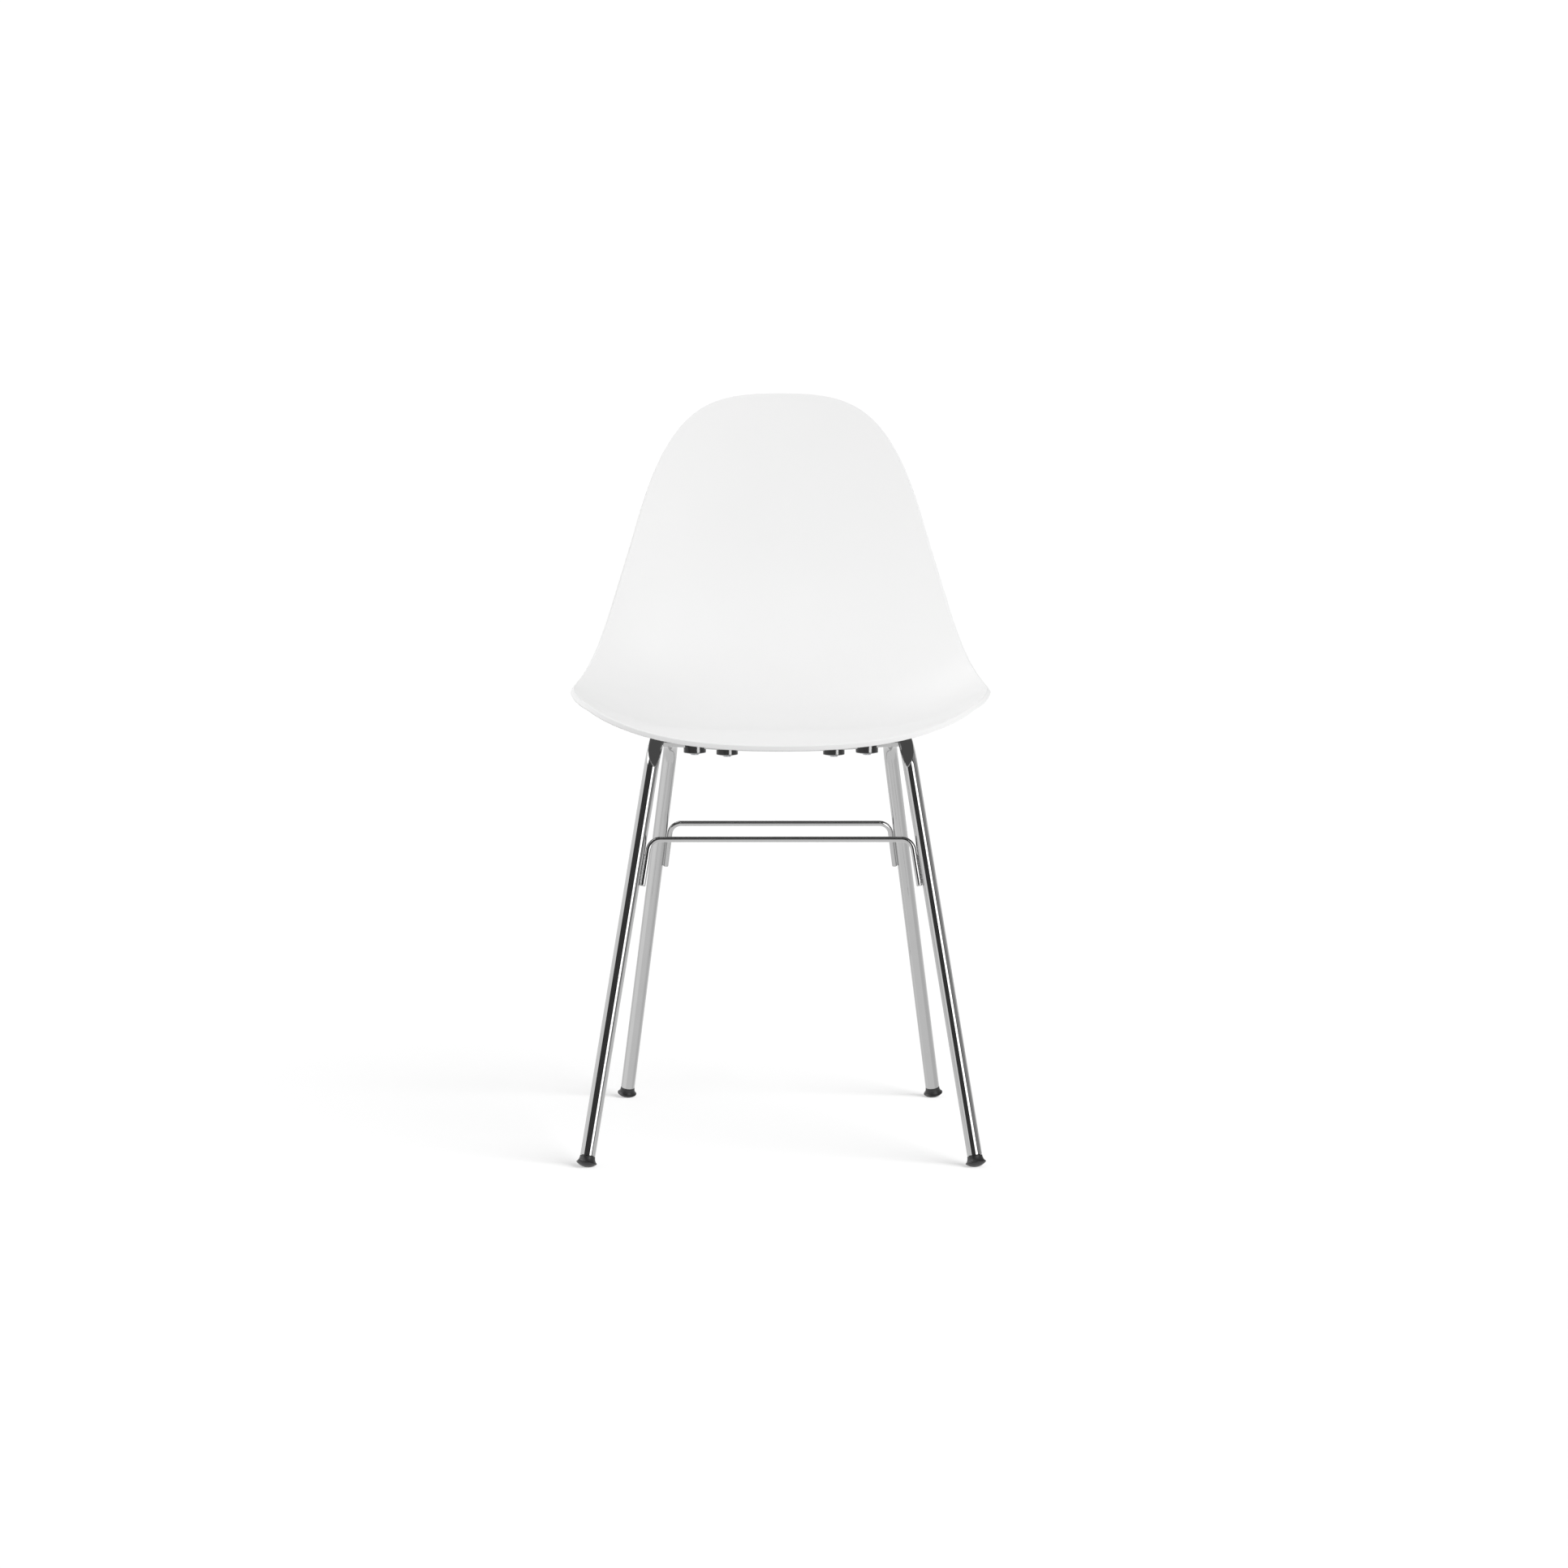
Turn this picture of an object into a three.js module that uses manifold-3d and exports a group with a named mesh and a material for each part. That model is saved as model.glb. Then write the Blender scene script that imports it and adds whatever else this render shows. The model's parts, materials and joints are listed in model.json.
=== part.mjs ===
// Stacking side chair: a one-piece moulded seat shell on a chromed steel tube frame.
// Millimetres, +Z up. The origin is on the floor, at the middle of the chair's footprint box.
// The chair faces -Y, and left is the left hand of a person sitting on it, towards +X.

import * as THREE from "three";
import { mergeVertices } from "three/addons/utils/BufferGeometryUtils.js";
import Module from "manifold-3d";

const wasm = await Module();
wasm.setup();

const GAP = 0.3; // air between pieces that touch or are welded on the real chair
const CUT_REACH = 20; // how far a cutting shape runs past what it cuts

// Seat shell. The spine is the shell's centre line, seen from the side.
const SHELL_THICKNESS = 6;
const SHELL_FRONT = { y: -245.7, z: 443.4 };
const SPINE_LENGTH = 755.9;
// Slope of the spine in degrees at distances along it: front lip, seat, bend, back.
const SPINE_SLOPE = [
  [0, 17.5],
  [90, -4.6],
  [251.5, -4.6],
  [492.6, 78],
  [SPINE_LENGTH, 71],
];
// How far the shell curls up from the spine at SHELL_HALF_REFERENCE to the side, along the spine.
const SHELL_CURL = [
  [0, 13.7],
  [130, 34.9],
  [260, 41.2],
  [450, 48.5],
  [SPINE_LENGTH, 40],
];
const SHELL_HALF_REFERENCE = 220;
// Exponent of the curl: the seat stays flat and turns up at its sides, the back is rounder.
const SHELL_CURL_POWER = [
  [260, 3.7],
  [560, 2.2],
];
// Flat outline of the shell, half of it, as (sideways, along the spine).
const SHELL_WIDEST = { half: 232.8, along: 291.7 };
const SHELL_WAIST = { half: 162.7, along: 601.6, slant: THREE.MathUtils.degToRad(14.9) };
const OUTLINE_HANDLES = { front: 172.3, side: 198.4, flare: 85.5, lower: 127.7, upper: 145.3, top: 78.8 };
const OUTLINE_STEPS = [13, 12, 12];
const SHELL_RINGS = 7;
const RIM_STEPS = 4;
const SEAM_SHARE = 0.74; // share of the spine that the grid's middle seam covers

// Steel tube frame.
const TUBE_RADIUS = 8;
const TUBE_WALL = 1.5;
const TUBE_SIDES = 16;
const FRONT_FOOT = new THREE.Vector3(206, -233.7, 0);
const FRONT_KNEE = new THREE.Vector3(133.8, -139, 445.5); // where leg and rail axes cross
const REAR_FOOT = new THREE.Vector3(180, 206.3, 0);
const REAR_KNEE = new THREE.Vector3(123.2, 104.4, 427);
const KNEE_RADIUS = 36;
const BEND_STEPS = 7;

// Stretcher rods, bent down along the legs at both ends.
const ROD_RADIUS = 3;
const ROD_SIDES = 10;
const ROD_BEND_RADIUS = 13;
const FRONT_ROD = { height: 340, end: 291 };
const REAR_ROD = { height: 329.4, end: 279 };

// Cross straps that carry the shell. Each sags a little towards the middle, as the shell does.
const STRAP_WIDTH = 12;
const STRAP_THICKNESS = 4.5;
const STRAP_RISE = 6; // from the middle to the ends
const FRONT_STRAP = { y: -103.7, underside: 430.5, fastener: 92.9 };
const REAR_STRAP = { y: 36.3, underside: 419.2, fastener: 59.6 };

// Stacking pads, screws, inserts and bosses, all on vertical axes. Depths are below the strap.
const PAD = { radius: 12.1, edgeDepth: 4.9, tipDepth: 7.5, chamfer: 0.8, lip: 0.9 };
const SCREW = { radius: 2.5, head: 4.4, headHeight: 1.6, headCurve: 1, headSide: 0.9, tip: 0.8 };
const RECESS = { reach: 2.8, width: 1, depth: 0.7 }; // cross recess in the screw's head
const BOSS_RADIUS = 11;
const INSERT = { radius: 4.2, skin: 2.2, foot: 0.9, groove: 0.6, grooveBottom: 0.4, grooveTop: 0.8 };
const ROUND_SIDES = 16;

// Foot glides, pushed into the tubes and coaxial with the legs.
const TUBE_END = 12.5; // from the floor to the tube's cut end, along the leg
const GLIDE = { radius: 11, rim: 4.5, stem: 18, chamfer: 1 };
// The glide above its rim, as (radius, height): a hollow flare that runs up into the tube's line.
const GLIDE_FLARE = [
  [11, 5.2],
  [9.6, 6.6],
  [8.7, 8.4],
  [8.15, 10.4],
];
const DOME_STEPS = 4;

function toSolid(geometry) {
  const bare = geometry.index ? geometry.toNonIndexed() : geometry.clone();
  bare.deleteAttribute("normal");
  bare.deleteAttribute("uv");
  const merged = mergeVertices(bare, 1e-3);
  return new wasm.Manifold(
    new wasm.Mesh({
      numProp: 3,
      vertProperties: merged.attributes.position.array,
      triVerts: new Uint32Array(merged.index.array),
    }),
  );
}

function toGeometry(solid) {
  const mesh = solid.getMesh();
  const geometry = new THREE.BufferGeometry();
  geometry.setAttribute("position", new THREE.BufferAttribute(mesh.vertProperties, 3));
  geometry.setIndex(new THREE.BufferAttribute(mesh.triVerts, 1));
  return geometry;
}

// Value at x of a chain of keys [x, value] joined by smooth steps.
function keyed(keys, x) {
  let value = keys[0][1];
  for (let i = 1; i < keys.length; i += 1) {
    const [from, before] = keys[i - 1];
    const [to, after] = keys[i];
    value += (after - before) * THREE.MathUtils.smoothstep(x, from, to);
  }
  return value;
}

// The spine as points one step apart, from the front edge to the top edge.
const SPINE_STEPS = 600;
const spine = (() => {
  const step = SPINE_LENGTH / SPINE_STEPS;
  const points = [new THREE.Vector2(SHELL_FRONT.y, SHELL_FRONT.z)];
  for (let i = 0; i < SPINE_STEPS; i += 1) {
    const slope = THREE.MathUtils.degToRad(keyed(SPINE_SLOPE, (i + 0.5) * step));
    const ahead = new THREE.Vector2(Math.cos(slope), Math.sin(slope)).multiplyScalar(step);
    points.push(points[i].clone().add(ahead));
  }
  return points;
})();

// Point of the shell's middle surface, for a place on its flat outline.
function shellPoint(side, along) {
  const place = THREE.MathUtils.clamp((along / SPINE_LENGTH) * SPINE_STEPS, 0, SPINE_STEPS);
  const index = Math.min(Math.floor(place), SPINE_STEPS - 1);
  const on = spine[index].clone().lerp(spine[index + 1], place - index);
  const slope = THREE.MathUtils.degToRad(keyed(SPINE_SLOPE, along));
  const ratio = Math.abs(side) / SHELL_HALF_REFERENCE;
  const curl = keyed(SHELL_CURL, along) * ratio ** keyed(SHELL_CURL_POWER, along);
  return new THREE.Vector3(side, on.x - Math.sin(slope) * curl, on.y + Math.cos(slope) * curl);
}

// Unit normal of the shell's middle surface, towards the sitter.
function shellNormal(side, along) {
  const d = 0.5;
  const across = shellPoint(side + d, along).sub(shellPoint(side - d, along));
  const onward = shellPoint(side, along + d).sub(shellPoint(side, along - d));
  return across.cross(onward).normalize();
}

// Closed flat outline, from the middle of the front edge round by the left side.
function shellOutline() {
  const h = OUTLINE_HANDLES;
  const slant = new THREE.Vector2(-Math.sin(SHELL_WAIST.slant), Math.cos(SHELL_WAIST.slant));
  const widest = new THREE.Vector2(SHELL_WIDEST.half, SHELL_WIDEST.along);
  const waist = new THREE.Vector2(SHELL_WAIST.half, SHELL_WAIST.along);
  const curves = [
    new THREE.CubicBezierCurve(
      new THREE.Vector2(0, 0),
      new THREE.Vector2(h.front, 0),
      new THREE.Vector2(widest.x, widest.y - h.side),
      widest,
    ),
    new THREE.CubicBezierCurve(
      widest,
      new THREE.Vector2(widest.x, widest.y + h.flare),
      waist.clone().addScaledVector(slant, -h.lower),
      waist,
    ),
    new THREE.CubicBezierCurve(
      waist,
      waist.clone().addScaledVector(slant, h.upper),
      new THREE.Vector2(h.top, SPINE_LENGTH),
      new THREE.Vector2(0, SPINE_LENGTH),
    ),
  ];
  const half = [];
  curves.forEach((curve, i) => {
    half.push(...curve.getSpacedPoints(OUTLINE_STEPS[i]).slice(i === 0 ? 0 : 1));
  });
  const mirrored = half.slice(1, -1).reverse().map((p) => new THREE.Vector2(-p.x, p.y));
  return half.concat(mirrored);
}

// The moulded shell as one closed skin: sitting face, rounded rim and underside.
function shellSkin() {
  const outline = shellOutline();
  const count = outline.length;
  const reach = SHELL_THICKNESS / 2;
  const columns = outline.map((edge, i) => {
    const before = outline[(i + count - 1) % count];
    const after = outline[(i + 1) % count];
    const run = after.clone().sub(before).normalize();
    const inset = new THREE.Vector2(edge.x - run.y * reach, edge.y + run.x * reach);
    const middle = new THREE.Vector2(0, THREE.MathUtils.lerp(SPINE_LENGTH / 2, edge.y, SEAM_SHARE));
    const column = [];
    for (const face of [1, -1]) {
      const points = [];
      for (let ring = 0; ring <= SHELL_RINGS; ring += 1) {
        const at = middle.clone().lerp(inset, ring / SHELL_RINGS);
        const normal = shellNormal(at.x, at.y);
        points.push(shellPoint(at.x, at.y).addScaledVector(normal, face * reach));
      }
      column.push(points);
    }
    const root = shellPoint(inset.x, inset.y);
    const normal = shellNormal(inset.x, inset.y);
    const outward = shellPoint(edge.x, edge.y).sub(root).normalize();
    const rim = [];
    for (let k = 1; k < RIM_STEPS; k += 1) {
      const turn = (Math.PI * k) / RIM_STEPS;
      const point = root.clone().addScaledVector(normal, Math.cos(turn) * reach);
      rim.push(point.addScaledVector(outward, Math.sin(turn) * reach));
    }
    return [...column[0], ...rim, ...column[1].reverse()];
  });
  const rows = columns[0].length;
  const index = [];
  for (let i = 0; i < count; i += 1) {
    const next = (i + 1) % count;
    for (let j = 0; j < rows - 1; j += 1) {
      const a = i * rows + j;
      const b = next * rows + j;
      index.push(a, a + 1, b, b, a + 1, b + 1);
    }
  }
  const geometry = new THREE.BufferGeometry().setFromPoints(columns.flat());
  geometry.setIndex(index);
  return toSolid(geometry);
}

// Solid round bar on a vertical axis, between two heights.
function verticalBar(radius, x, y, low, high) {
  const bar = new THREE.CylinderGeometry(radius, radius, high - low, ROUND_SIDES);
  bar.rotateX(Math.PI / 2);
  bar.translate(x, y, (low + high) / 2);
  return toSolid(bar);
}

// Height of a strap's underside at a distance from the middle of the chair.
function strapUnderside(strap, x) {
  return strap.underside + STRAP_RISE * (x / railSide(strap.y)) ** 2;
}

// Solid between two heights above a strap's underside curve, as wide as asked along Y.
function strapBand(strap, low, high, width) {
  const reach = railSide(strap.y);
  const shape = new THREE.Shape();
  const ends = strap.underside + STRAP_RISE;
  const control = strap.underside - STRAP_RISE;
  shape.moveTo(-reach, ends + low);
  shape.quadraticCurveTo(0, control + low, reach, ends + low);
  shape.lineTo(reach, ends + high);
  shape.quadraticCurveTo(0, control + high, -reach, ends + high);
  const band = new THREE.ExtrudeGeometry(shape, { depth: width, bevelEnabled: false, curveSegments: 20 });
  band.rotateX(Math.PI / 2);
  band.translate(0, strap.y + width / 2, 0);
  return toSolid(band);
}

// Everything above a height over a strap's underside, wide enough to cut a boss or a pad.
function aboveStrap(strap, low) {
  return strapBand(strap, low, CUT_REACH, 2 * CUT_REACH);
}

// Sideways place of the rail's axis at a distance along Y.
function railSide(y) {
  const share = (y - FRONT_KNEE.y) / (REAR_KNEE.y - FRONT_KNEE.y);
  return THREE.MathUtils.lerp(FRONT_KNEE.x, REAR_KNEE.x, share);
}

const FASTENERS = [
  { name: "front_left", strap: FRONT_STRAP, x: FRONT_STRAP.fastener },
  { name: "front_right", strap: FRONT_STRAP, x: -FRONT_STRAP.fastener },
  { name: "rear_left", strap: REAR_STRAP, x: REAR_STRAP.fastener },
  { name: "rear_right", strap: REAR_STRAP, x: -REAR_STRAP.fastener },
];

// Height of the shell's middle surface above a fastener on the seat.
function shellHeightAt(x, y) {
  let along = y - SHELL_FRONT.y;
  for (let i = 0; i < 8; i += 1) {
    along += y - shellPoint(x, along).y;
  }
  return shellPoint(x, along).z;
}

// Top of the blind hole that holds a threaded insert.
function insertTop(place) {
  return shellHeightAt(place.x, place.strap.y) + SHELL_THICKNESS / 2 - INSERT.skin;
}

function seatShell() {
  let shell = shellSkin();
  for (const place of FASTENERS) {
    const { strap, x } = place;
    const bottom = strap.underside;
    const boss = verticalBar(BOSS_RADIUS, x, strap.y, bottom, shellHeightAt(x, strap.y));
    const hole = verticalBar(INSERT.radius + GAP, x, strap.y, bottom, insertTop(place));
    const seated = boss.intersect(aboveStrap(strap, STRAP_THICKNESS + GAP));
    shell = shell.add(seated).subtract(hole);
  }
  return toGeometry(shell);
}

// A path whose stations are given, so straight stretches need only their ends.
class StationPath extends THREE.Curve {
  constructor(points, tangents) {
    super();
    this.points = points;
    this.tangents = tangents;
  }
  getPointAt(u) {
    return this.points[Math.round(u * (this.points.length - 1))].clone();
  }
  getTangentAt(u) {
    return this.tangents[Math.round(u * (this.tangents.length - 1))].clone();
  }
}

// Path through corner points, each inner corner rounded to the given radius.
function roundedPath(corners, radius) {
  const points = [corners[0].clone()];
  const tangents = [corners[1].clone().sub(corners[0]).normalize()];
  for (let i = 1; i < corners.length - 1; i += 1) {
    const into = corners[i].clone().sub(corners[i - 1]).normalize();
    const out = corners[i + 1].clone().sub(corners[i]).normalize();
    const turn = into.angleTo(out);
    const start = corners[i].clone().addScaledVector(into, -radius * Math.tan(turn / 2));
    const towards = out.clone().addScaledVector(into, -into.dot(out)).normalize();
    for (let k = 0; k <= BEND_STEPS; k += 1) {
      const angle = (turn * k) / BEND_STEPS;
      const point = start.clone().addScaledVector(into, radius * Math.sin(angle));
      points.push(point.addScaledVector(towards, radius * (1 - Math.cos(angle))));
      const tangent = into.clone().multiplyScalar(Math.cos(angle));
      tangents.push(tangent.addScaledVector(towards, Math.sin(angle)));
    }
  }
  const last = corners.length - 1;
  points.push(corners[last].clone());
  tangents.push(corners[last].clone().sub(corners[last - 1]).normalize());
  return new StationPath(points, tangents);
}

// Round bar or tube along a path. A bore radius of 0 makes a solid bar.
function barAlong(path, radius, bore, sides) {
  const ring = (r) => {
    const points = [];
    for (let i = 0; i < sides; i += 1) {
      const turn = (2 * Math.PI * i) / sides;
      points.push(new THREE.Vector2(r * Math.cos(turn), r * Math.sin(turn)));
    }
    return points;
  };
  const section = new THREE.Shape(ring(radius));
  if (bore > 0) {
    section.holes.push(new THREE.Path(ring(bore)));
  }
  return new THREE.ExtrudeGeometry(section, {
    steps: path.points.length - 1,
    extrudePath: path,
    bevelEnabled: false,
  });
}

const mirrorX = (v, side) => new THREE.Vector3(v.x * side, v.y, v.z);

// Point on the line from a foot towards its top, at a distance along it.
function alongLeg(foot, top, distance) {
  const up = top.clone().sub(foot).normalize();
  return foot.clone().addScaledVector(up, distance);
}

// Axis of a side frame: up the front leg, back along the rail and down the rear leg.
function sidePath(side) {
  const front = alongLeg(FRONT_FOOT, FRONT_KNEE, TUBE_END);
  const rear = alongLeg(REAR_FOOT, REAR_KNEE, TUBE_END);
  const corners = [front, FRONT_KNEE, REAR_KNEE, rear];
  return roundedPath(corners.map((p) => mirrorX(p, side)), KNEE_RADIUS);
}

// Front leg, seat rail and rear leg, one tube bent at the two knees.
function sideTube(side) {
  return barAlong(sidePath(side), TUBE_RADIUS, TUBE_RADIUS - TUBE_WALL, TUBE_SIDES);
}

// Solid bar that fills a side tube and a little air round it, to shape what meets the tube.
function tubeCutter(side) {
  return toSolid(barAlong(sidePath(side), TUBE_RADIUS + GAP, 0, TUBE_SIDES));
}

// Stretcher rod in the plane of two legs, its ends lying along the inner sides of the legs.
function stretcher(foot, top, rod) {
  const leg = top.clone().sub(foot);
  const offset = TUBE_RADIUS + ROD_RADIUS + GAP;
  const inward = new THREE.Vector3(-leg.z, 0, leg.x).normalize().multiplyScalar(offset);
  const onLeg = (height) => foot.clone().addScaledVector(leg, (height - foot.z) / leg.z);
  const beside = (height) => onLeg(height - inward.z).add(inward);
  const left = [beside(rod.end), beside(rod.height)];
  const right = left.map((p) => mirrorX(p, -1)).reverse();
  const path = roundedPath(left.concat(right), ROD_BEND_RADIUS);
  return barAlong(path, ROD_RADIUS, 0, ROD_SIDES);
}

// Flat bar from rail to rail, its ends shaped to the rails, with its two screw holes.
function crossStrap(strap) {
  let bar = strapBand(strap, 0, STRAP_THICKNESS, STRAP_WIDTH);
  for (const side of [1, -1]) {
    const x = strap.fastener * side;
    const low = strap.underside - CUT_REACH;
    const high = strap.underside + CUT_REACH;
    bar = bar.subtract(tubeCutter(side));
    bar = bar.subtract(verticalBar(SCREW.radius + 2 * GAP, x, strap.y, low, high));
  }
  return toGeometry(bar);
}

// Turned piece from (radius, height) points listed from bottom to top, closed on the axis.
function turned(points) {
  const profile = points.map(([r, h]) => new THREE.Vector2(r, h));
  const lathe = new THREE.LatheGeometry(profile, ROUND_SIDES);
  lathe.rotateX(Math.PI / 2);
  return lathe;
}

// Round rubber pad under a strap, with a cheek before and behind it that reach up to its top.
function stackingPad(place) {
  const { strap, x } = place;
  const bore = SCREW.radius + GAP;
  const recess = SCREW.head + GAP;
  const shelf = SCREW.headHeight + GAP - PAD.tipDepth;
  const spare = STRAP_THICKNESS + STRAP_RISE; // cut back to the strap's top
  const pad = turned([
    [bore, shelf],
    [recess, shelf],
    [recess, PAD.lip - PAD.tipDepth],
    [PAD.radius - PAD.chamfer, -PAD.edgeDepth],
    [PAD.radius, PAD.chamfer - PAD.edgeDepth],
    [PAD.radius, spare],
    [bore, spare],
    [bore, shelf],
  ]);
  pad.translate(x, strap.y, strapUnderside(strap, x));
  const channel = strapBand(strap, -GAP, CUT_REACH, STRAP_WIDTH + 2 * GAP);
  return toGeometry(toSolid(pad).subtract(channel).subtract(aboveStrap(strap, STRAP_THICKNESS)));
}

// Pan-head screw from the pad's tip up into the insert, with a cross recess in its head.
function padScrew(place) {
  const { strap, x } = place;
  const start = strapUnderside(strap, x) - PAD.tipDepth;
  const length = insertTop(place) - 2 * GAP - start;
  const screw = turned([
    [0, 0],
    [SCREW.head - SCREW.headCurve, 0],
    [SCREW.head, SCREW.headHeight - SCREW.headSide],
    [SCREW.head, SCREW.headHeight],
    [SCREW.radius, SCREW.headHeight],
    [SCREW.radius, length - SCREW.tip],
    [SCREW.radius - SCREW.tip, length],
    [0, length],
  ]);
  screw.translate(x, strap.y, start);
  const slot = new THREE.BoxGeometry(2 * SCREW.head, RECESS.width, 2 * RECESS.depth);
  const cross = slot.clone().rotateZ(Math.PI / 2);
  slot.translate(x, strap.y, start);
  cross.translate(x, strap.y, start);
  const middle = verticalBar(RECESS.reach, x, strap.y, start - RECESS.depth, start + 2 * RECESS.depth);
  const recess = toSolid(slot).add(toSolid(cross)).intersect(middle);
  return toGeometry(toSolid(screw).subtract(recess));
}

// Brass insert moulded into a boss of the shell, with a groove that anchors it.
function threadedInsert(place) {
  const low = strapUnderside(place.strap, place.x) + STRAP_THICKNESS + GAP + INSERT.foot;
  const high = insertTop(place) - GAP;
  const bore = SCREW.radius + GAP;
  const waist = (low + high) / 2;
  const insert = turned([
    [bore, low],
    [INSERT.radius, low],
    [INSERT.radius, waist - INSERT.grooveTop],
    [INSERT.radius - INSERT.groove, waist - INSERT.grooveBottom],
    [INSERT.radius - INSERT.groove, waist + INSERT.grooveBottom],
    [INSERT.radius, waist + INSERT.grooveTop],
    [INSERT.radius, high],
    [bore, high],
    [bore, low],
  ]);
  insert.translate(place.x, place.strap.y, 0);
  return insert;
}

// Plastic foot glide: a dome cut flat by the floor, a flare up to the tube, and a stem inside it.
function footGlide(foot, top) {
  const stem = TUBE_RADIUS - TUBE_WALL - GAP;
  const dome = (GLIDE.radius ** 2 + GLIDE.rim ** 2) / (2 * GLIDE.rim);
  const widest = Math.asin(GLIDE.radius / dome);
  const profile = [];
  for (let i = 0; i <= DOME_STEPS; i += 1) {
    const turn = (widest * i) / DOME_STEPS;
    profile.push([dome * Math.sin(turn), dome * (1 - Math.cos(turn))]);
  }
  profile.push(...GLIDE_FLARE);
  profile.push([TUBE_RADIUS, TUBE_END - GAP]);
  profile.push([stem, TUBE_END - GAP]);
  profile.push([stem, TUBE_END + GLIDE.stem - GLIDE.chamfer]);
  profile.push([stem - GLIDE.chamfer, TUBE_END + GLIDE.stem]);
  profile.push([0, TUBE_END + GLIDE.stem]);
  const glide = turned(profile);
  const up = top.clone().sub(foot).normalize();
  glide.applyQuaternion(new THREE.Quaternion().setFromUnitVectors(new THREE.Vector3(0, 0, 1), up));
  glide.translate(foot.x, foot.y, foot.z);
  const floor = new THREE.BoxGeometry(2 * CUT_REACH, 2 * CUT_REACH, CUT_REACH);
  floor.translate(foot.x, foot.y, -CUT_REACH / 2);
  return toGeometry(toSolid(glide).subtract(toSolid(floor)));
}

const finish = {
  shell: new THREE.MeshStandardMaterial({ color: 0xf0f0f0, roughness: 0.55, metalness: 0 }),
  chrome: new THREE.MeshStandardMaterial({ color: 0xd8dade, roughness: 0.08, metalness: 1 }),
  rubber: new THREE.MeshStandardMaterial({ color: 0x1c1c1e, roughness: 0.6, metalness: 0 }),
  screw: new THREE.MeshStandardMaterial({ color: 0xa8aaac, roughness: 0.35, metalness: 1 }),
  brass: new THREE.MeshStandardMaterial({ color: 0xb8954a, roughness: 0.4, metalness: 1 }),
};

const chair = new THREE.Group();

function addPiece(group, name, geometry, material) {
  const piece = new THREE.Mesh(geometry, material);
  piece.name = name;
  group.add(piece);
}

addPiece(chair, "seat_shell", seatShell(), finish.shell);

const frame = new THREE.Group();
chair.add(frame);
addPiece(frame, "front_stretcher", stretcher(FRONT_FOOT, FRONT_KNEE, FRONT_ROD), finish.chrome);
addPiece(frame, "rear_stretcher", stretcher(REAR_FOOT, REAR_KNEE, REAR_ROD), finish.chrome);
addPiece(frame, "front_strap", crossStrap(FRONT_STRAP), finish.chrome);
addPiece(frame, "rear_strap", crossStrap(REAR_STRAP), finish.chrome);
for (const [hand, side] of [["left", 1], ["right", -1]]) {
  const front = [mirrorX(FRONT_FOOT, side), mirrorX(FRONT_KNEE, side)];
  const rear = [mirrorX(REAR_FOOT, side), mirrorX(REAR_KNEE, side)];
  addPiece(frame, `side_tube_${hand}`, sideTube(side), finish.chrome);
  addPiece(frame, `foot_glide_front_${hand}`, footGlide(...front), finish.rubber);
  addPiece(frame, `foot_glide_rear_${hand}`, footGlide(...rear), finish.rubber);
}

for (const place of FASTENERS) {
  addPiece(chair, `stacking_pad_${place.name}`, stackingPad(place), finish.rubber);
  addPiece(chair, `pad_screw_${place.name}`, padScrew(place), finish.screw);
  addPiece(chair, `threaded_insert_${place.name}`, threadedInsert(place), finish.brass);
}

export default chair;
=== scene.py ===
import json
import math

import bmesh
import bpy
import numpy as np
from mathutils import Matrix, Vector

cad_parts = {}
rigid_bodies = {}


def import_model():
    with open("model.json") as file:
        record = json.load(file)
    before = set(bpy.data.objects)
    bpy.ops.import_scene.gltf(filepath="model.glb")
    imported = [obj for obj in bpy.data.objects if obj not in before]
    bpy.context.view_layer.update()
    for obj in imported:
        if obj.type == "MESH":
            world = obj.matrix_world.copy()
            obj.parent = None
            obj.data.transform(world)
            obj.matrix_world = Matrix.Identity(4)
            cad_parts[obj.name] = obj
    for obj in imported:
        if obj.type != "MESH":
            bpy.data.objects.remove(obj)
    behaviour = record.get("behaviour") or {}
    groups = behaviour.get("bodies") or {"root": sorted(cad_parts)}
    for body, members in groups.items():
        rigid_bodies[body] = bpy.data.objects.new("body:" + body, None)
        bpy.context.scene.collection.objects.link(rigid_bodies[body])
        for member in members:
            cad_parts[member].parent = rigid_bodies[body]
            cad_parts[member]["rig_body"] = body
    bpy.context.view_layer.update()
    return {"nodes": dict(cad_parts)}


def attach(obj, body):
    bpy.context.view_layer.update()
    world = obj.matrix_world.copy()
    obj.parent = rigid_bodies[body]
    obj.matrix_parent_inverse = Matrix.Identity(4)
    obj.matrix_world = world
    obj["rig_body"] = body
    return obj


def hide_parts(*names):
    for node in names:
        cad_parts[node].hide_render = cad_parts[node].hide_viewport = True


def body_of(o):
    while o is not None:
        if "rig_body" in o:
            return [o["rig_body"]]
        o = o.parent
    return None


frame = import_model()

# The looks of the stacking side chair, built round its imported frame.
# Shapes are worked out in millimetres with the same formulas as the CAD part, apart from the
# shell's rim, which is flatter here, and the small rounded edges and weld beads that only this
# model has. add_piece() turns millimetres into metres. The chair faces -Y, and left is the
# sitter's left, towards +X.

MM = 0.001
GAP = 0.3  # air between pieces that touch

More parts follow.
